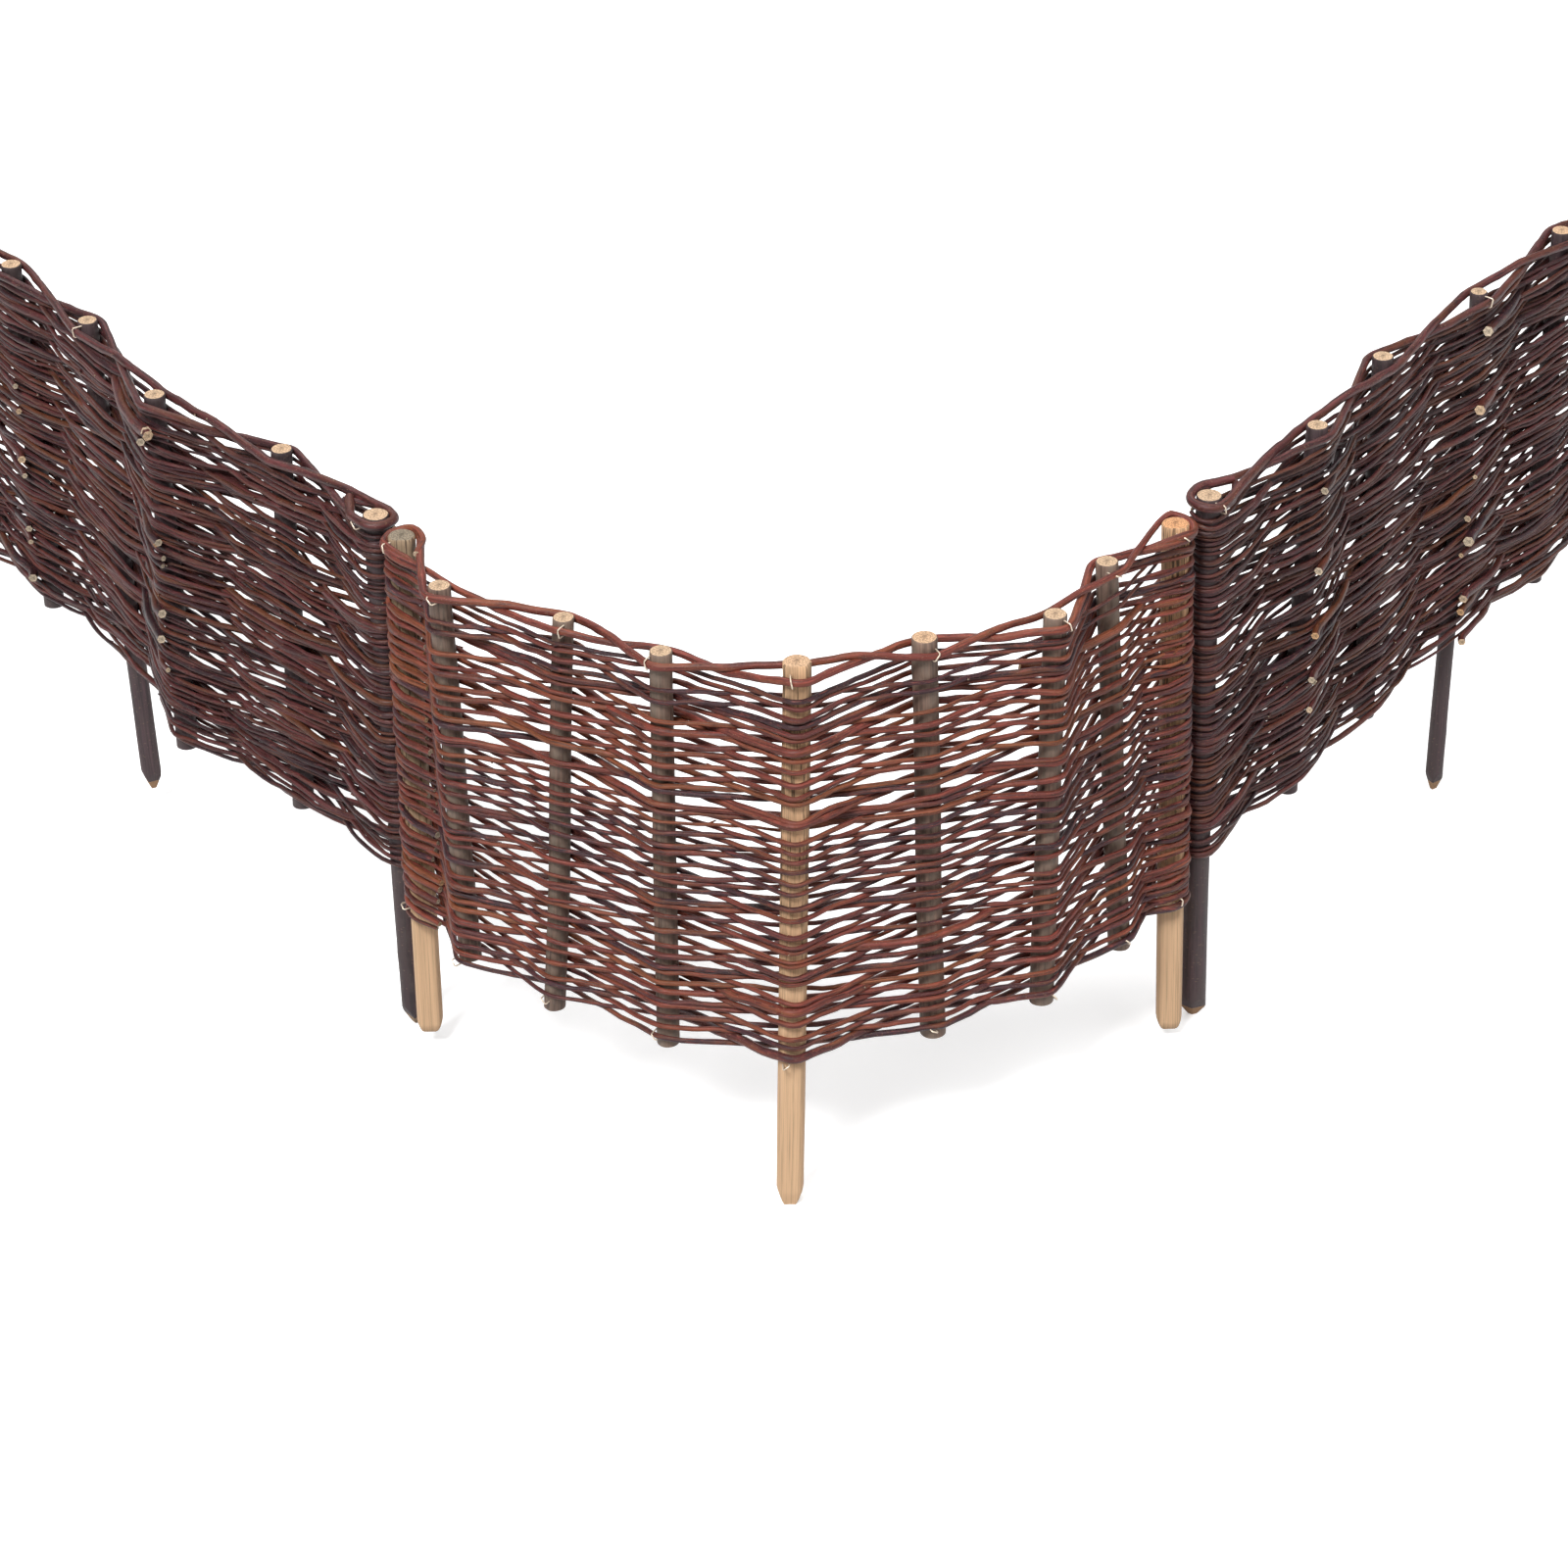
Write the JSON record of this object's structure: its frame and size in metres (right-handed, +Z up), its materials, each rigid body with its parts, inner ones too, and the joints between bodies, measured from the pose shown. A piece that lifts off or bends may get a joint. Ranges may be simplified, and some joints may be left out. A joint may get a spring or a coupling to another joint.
{
  "type": "woven willow bed edging",
  "caption": "Woven willow bed edging: low wattle panels on driven stakes, stood end to end in an open curve around a planting bed.",
  "frame": {"origin": "middle of the footprint of the three panels, on the plane that the stake tips stand on", "axes": "+Z up, +X to the right along the widest extent, and the rounded outside of the curve faces -Y"},
  "size_m": [2.0176, 1.1586, 0.585],
  "materials": {
    "middle_rods": "red-brown willow bark",
    "side_rods": "dark purple-brown willow bark",
    "split_stakes": "split pale wood",
    "middle_short_stakes": "olive-brown bark with sawn ends",
    "side_short_stakes": "dark bark with sawn ends",
    "bark_stakes": "dark bark with a cut point",
    "staple_wire": "thin bright wire"
  },
  "bodies": {
    "root": {"left_centre_stake": "bark_stakes", "left_left_end_stake": "bark_stakes", "left_lower_top_rod": "side_rods", "left_right_end_stake": "bark_stakes", "left_short_stake_1": "side_short_stakes", "left_short_stake_2": "side_short_stakes", "left_short_stake_3": "side_short_stakes", "left_short_stake_4": "side_short_stakes", "left_upper_top_rod": "side_rods", "left_weave": "side_rods", "middle_centre_stake": "split_stakes", "middle_left_end_stake": "split_stakes", "middle_lower_top_rod": "middle_rods", "middle_right_end_stake": "split_stakes", "middle_short_stake_1": "middle_short_stakes", "middle_short_stake_2": "middle_short_stakes", "middle_short_stake_3": "middle_short_stakes", "middle_short_stake_4": "middle_short_stakes", "middle_short_stake_5": "middle_short_stakes", "middle_short_stake_6": "middle_short_stakes", "middle_upper_top_rod": "middle_rods", "middle_weave": "middle_rods", "right_centre_stake": "bark_stakes", "right_left_end_stake": "bark_stakes", "right_lower_top_rod": "side_rods", "right_right_end_stake": "bark_stakes", "right_short_stake_1": "side_short_stakes", "right_short_stake_2": "side_short_stakes", "right_short_stake_3": "side_short_stakes", "right_short_stake_4": "side_short_stakes", "right_upper_top_rod": "side_rods", "right_weave": "side_rods"}
  },
  "joints": []
}
